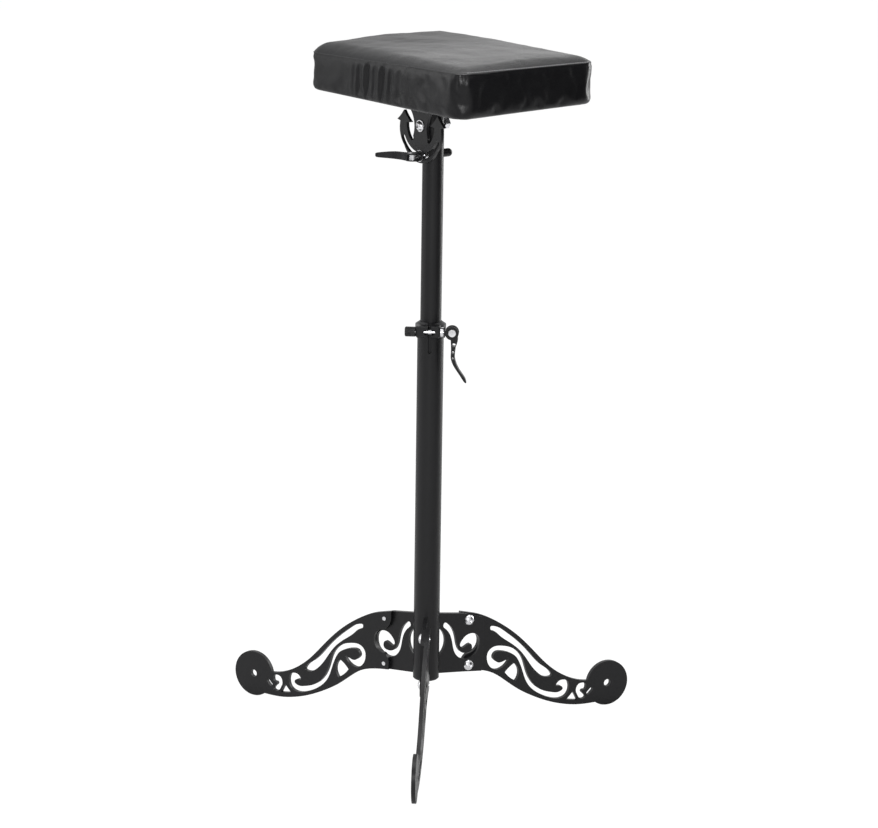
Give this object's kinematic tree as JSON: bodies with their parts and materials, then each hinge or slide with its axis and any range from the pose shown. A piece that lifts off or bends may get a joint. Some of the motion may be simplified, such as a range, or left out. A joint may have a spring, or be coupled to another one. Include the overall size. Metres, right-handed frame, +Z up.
{
  "type": "tattoo arm rest stand",
  "caption": "Free-standing arm rest: scrollwork tripod legs, telescoping mast with cam-lever clamp collar, tilting anchor-shaped bracket and rectangular padded rest.",
  "frame": {"origin": "centre of the bounding box at floor level; the mast axis stands at x 2.5 mm, y 42.6 mm", "axes": "+Z up along the mast; -Y along the front leg; the long side of the pad lies 46.7 degrees clockwise of +X seen from above"},
  "size_m": [0.4958, 0.4844, 0.8398],
  "materials": {
    "black_coat": "semi-gloss powder coat",
    "bright_steel": "bright zinc, turned",
    "zinc_steel": "zinc plated",
    "black_nut": "black oxide",
    "black_plastic": "moulded",
    "black_leather": "coated leatherette",
    "foam": "open-cell foam",
    "plywood": "plain",
    "dust_cloth": "non-woven"
  },
  "bodies": {
    "base": {"outer_tube": "black_coat", "tube_end_plug": "black_plastic", "wing_plate_front": "black_coat", "leg_front": "black_coat", "leg_screws_front": "bright_steel", "wing_plate_right": "black_coat", "leg_right": "black_coat", "leg_screws_right": "bright_steel", "wing_plate_left": "black_coat", "leg_left": "black_coat", "leg_screws_left": "bright_steel", "clamp_collar": "black_coat", "tube_bush": "black_plastic", "collar_rod": "bright_steel", "collar_ferrule": "bright_steel", "collar_cam_seat": "black_plastic", "collar_barrel": "bright_steel"},
    "slide_carriage": {"slide_ring": "black_plastic"},
    "mast": {"mast_tube": "black_coat", "mast_foot_plug": "black_plastic", "mast_cap": "black_plastic", "pivot_bolt": "bright_steel", "pivot_washers": "bright_steel", "pivot_nut": "bright_steel", "head_spacers": "bright_steel", "lock_rod": "bright_steel", "lock_washer": "bright_steel", "lock_cam_seat": "black_plastic", "lock_barrel": "bright_steel"},
    "pad_head": {"anchor_bracket": "black_coat", "bracket_screws": "zinc_steel", "tee_nuts": "zinc_steel", "pad_board": "plywood", "pad_foam": "foam", "pad_cover": "black_leather", "pad_dust_cover": "dust_cloth"},
    "collar_lever": {"collar_lever": "black_coat"},
    "collar_nut": {"collar_nut": "black_nut"},
    "lock_lever": {"lock_lever": "black_coat"},
    "lock_nut": {"lock_nut": "black_nut"}
  },
  "joints": [
    {"name": "height_slide", "type": "slide", "parent": "base", "child": "slide_carriage", "axis": [0, 0, 1], "range_m": [-0.14, 0.14]},
    {"name": "mast_swivel", "type": "hinge", "parent": "slide_carriage", "child": "mast", "pos_m": [0.0025, 0.04256, 0.4], "axis": [0, 0, 1], "continuous": true},
    {"name": "pad_tilt", "type": "hinge", "parent": "mast", "child": "pad_head", "pos_m": [0.0025, 0.04256, 0.7545], "axis": [0.7278, 0.6858, 0], "range_deg": [-55, 55]},
    {"name": "collar_lever_turn", "type": "hinge", "parent": "base", "child": "collar_lever", "pos_m": [0.0297, 0.02256, 0.5075], "axis": [0, -1, 0], "range_deg": [0, 150]},
    {"name": "collar_nut_turn", "type": "hinge", "parent": "base", "child": "collar_nut", "pos_m": [-0.0195, 0.02256, 0.5075], "axis": [-1, 0, 0], "continuous": true},
    {"name": "head_lever_turn", "type": "hinge", "parent": "mast", "child": "lock_lever", "pos_m": [-0.02064, 0.02075, 0.7187], "axis": [0, 0, 1], "range_deg": [-20, 120]},
    {"name": "head_nut_turn", "type": "hinge", "parent": "mast", "child": "lock_nut", "pos_m": [0.01706, 0.05628, 0.7187], "axis": [0.7278, 0.6858, 0], "continuous": true}
  ]
}
